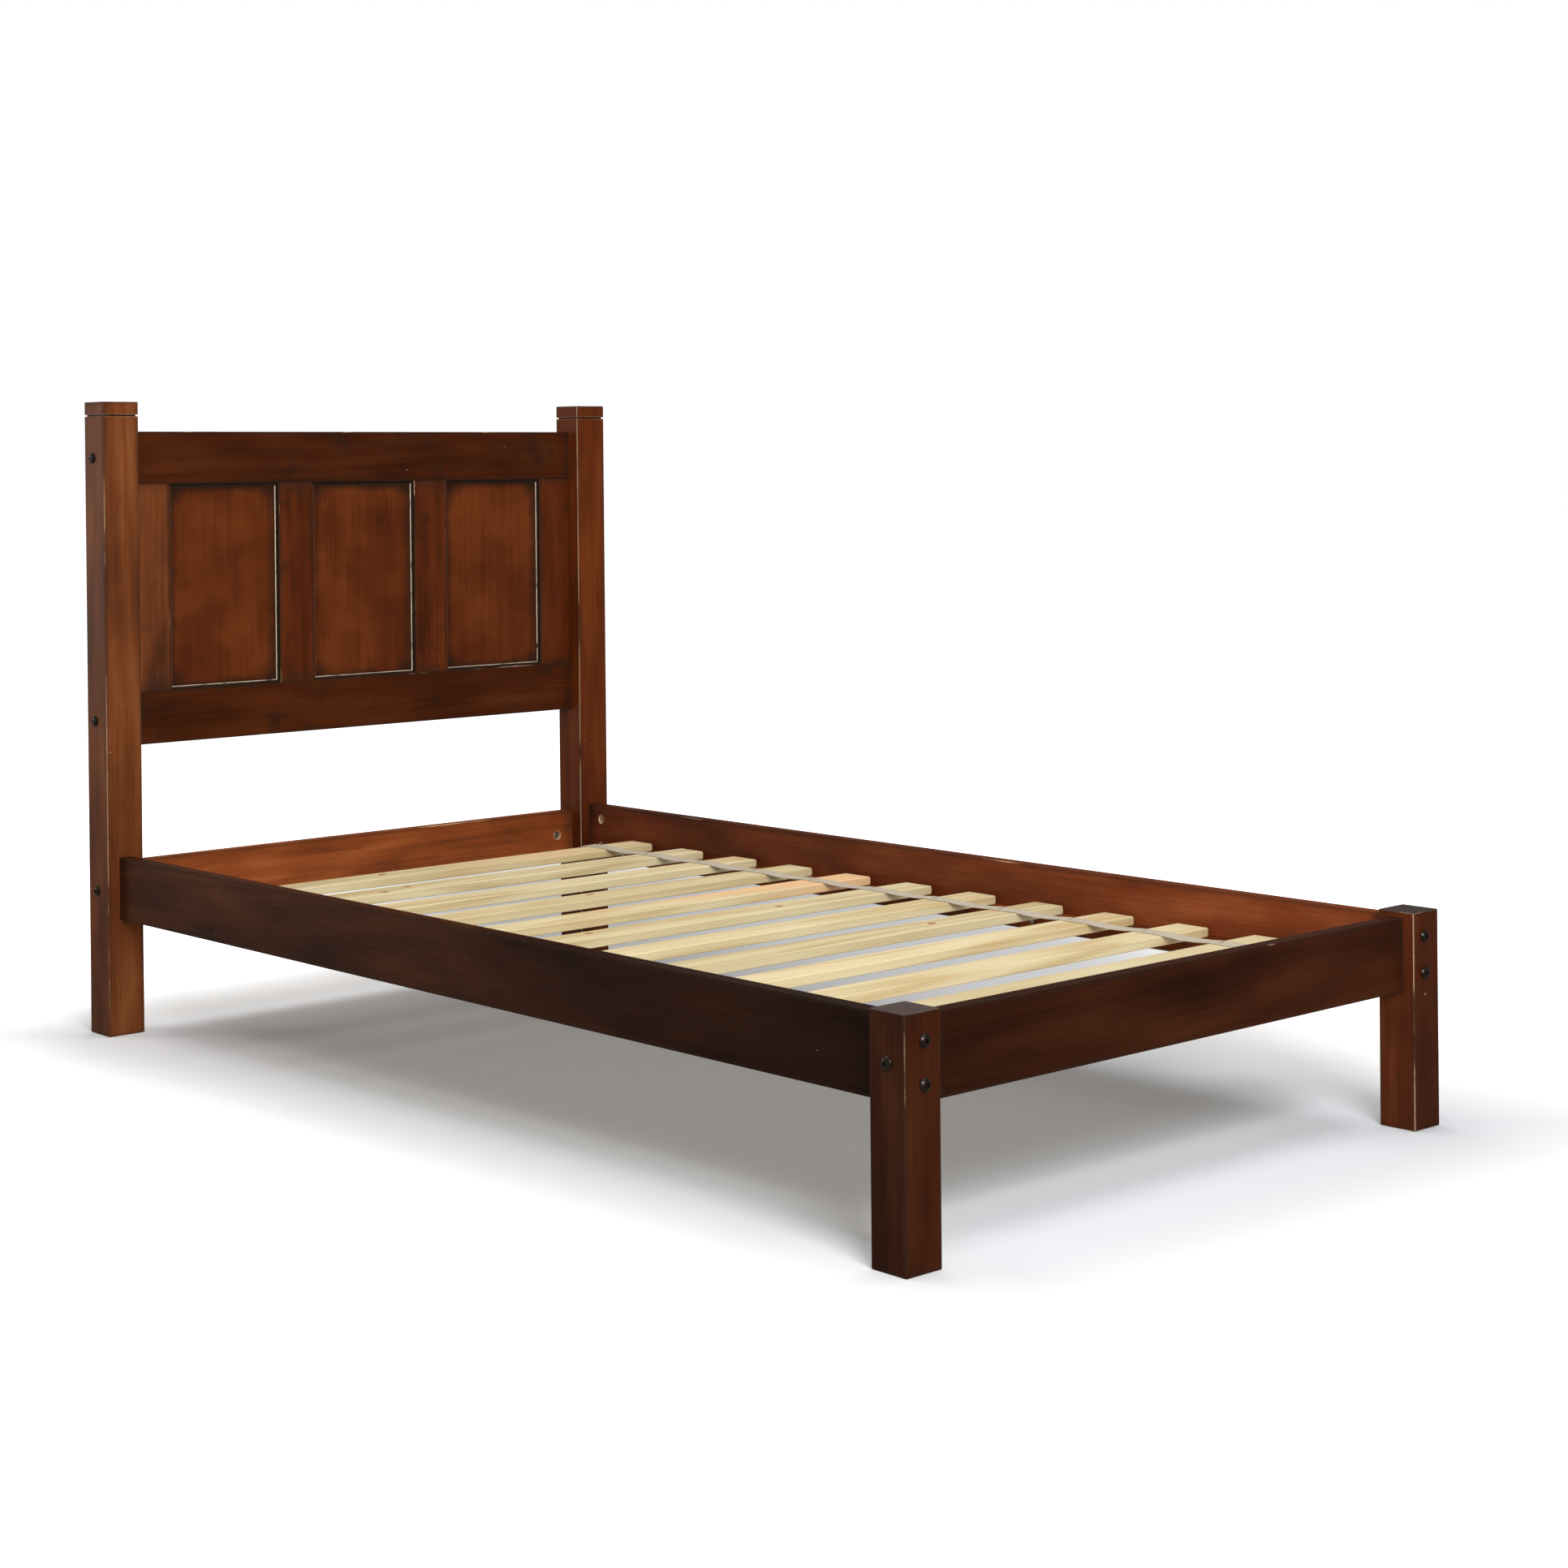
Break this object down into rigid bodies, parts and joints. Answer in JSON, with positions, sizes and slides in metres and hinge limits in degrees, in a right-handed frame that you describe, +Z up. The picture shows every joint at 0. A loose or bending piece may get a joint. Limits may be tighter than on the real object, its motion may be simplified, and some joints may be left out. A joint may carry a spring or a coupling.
{
  "type": "bed frame",
  "caption": "Low twin bed frame in stained wood with a three-panel headboard, square posts, bolt-on rails and a roll of pine slats on ledges.",
  "frame": {"origin": "on the floor, under the middle of the footprint", "axes": "+Y from the foot toward the head, +X to the right seen from the foot, +Z up"},
  "size_m": [1.102, 2.02, 1.092],
  "materials": {
    "stained_wood": "dark red-brown stain under satin lacquer, worn pale along the edges",
    "panel_wood": "warm red-brown stain, glazed darker toward the edges",
    "bead_wood": "stained beads rubbed through to pale wood along the crest",
    "ledge_wood": "red-brown stain, satin",
    "pine": "planed bare pine with knots",
    "dowel_wood": "bare beech",
    "webbing": "flat woven polyester webbing, off-white",
    "black_steel": "black oxide, satin",
    "zinc": "zinc plated"
  },
  "bodies": {
    "root": {"cross_rail_barrel_nuts": "zinc", "cross_rail_bolts": "black_steel", "foot_post_left": "stained_wood", "foot_post_right": "stained_wood", "foot_rail": "stained_wood", "foot_rail_barrel_nuts": "zinc", "foot_rail_bolts": "black_steel", "head_cross_rail": "stained_wood", "head_post_left": "stained_wood", "head_post_right": "stained_wood", "headboard_barrel_nuts": "zinc", "headboard_bolts": "black_steel", "headboard_bottom_rail": "stained_wood", "headboard_mullion_1": "stained_wood", "headboard_mullion_2": "stained_wood", "headboard_panel_centre": "panel_wood", "headboard_panel_left": "panel_wood", "headboard_panel_right": "panel_wood", "headboard_stile_left": "stained_wood", "headboard_stile_right": "stained_wood", "headboard_top_rail": "stained_wood", "ledge_screws_left": "zinc", "ledge_screws_right": "zinc", "locating_dowels": "dowel_wood", "panel_bead_centre": "bead_wood", "panel_bead_left": "bead_wood", "panel_bead_right": "bead_wood", "side_rail_barrel_nuts": "zinc", "side_rail_bolts": "black_steel", "side_rail_left": "stained_wood", "side_rail_right": "stained_wood", "slat_01": "pine", "slat_02": "pine", "slat_03": "pine", "slat_04": "pine", "slat_05": "pine", "slat_06": "pine", "slat_07": "pine", "slat_08": "pine", "slat_09": "pine", "slat_10": "pine", "slat_11": "pine", "slat_ledge_left": "ledge_wood", "slat_ledge_right": "ledge_wood", "slat_strap_left": "webbing", "slat_strap_right": "webbing", "strap_staples": "zinc"}
  },
  "joints": []
}
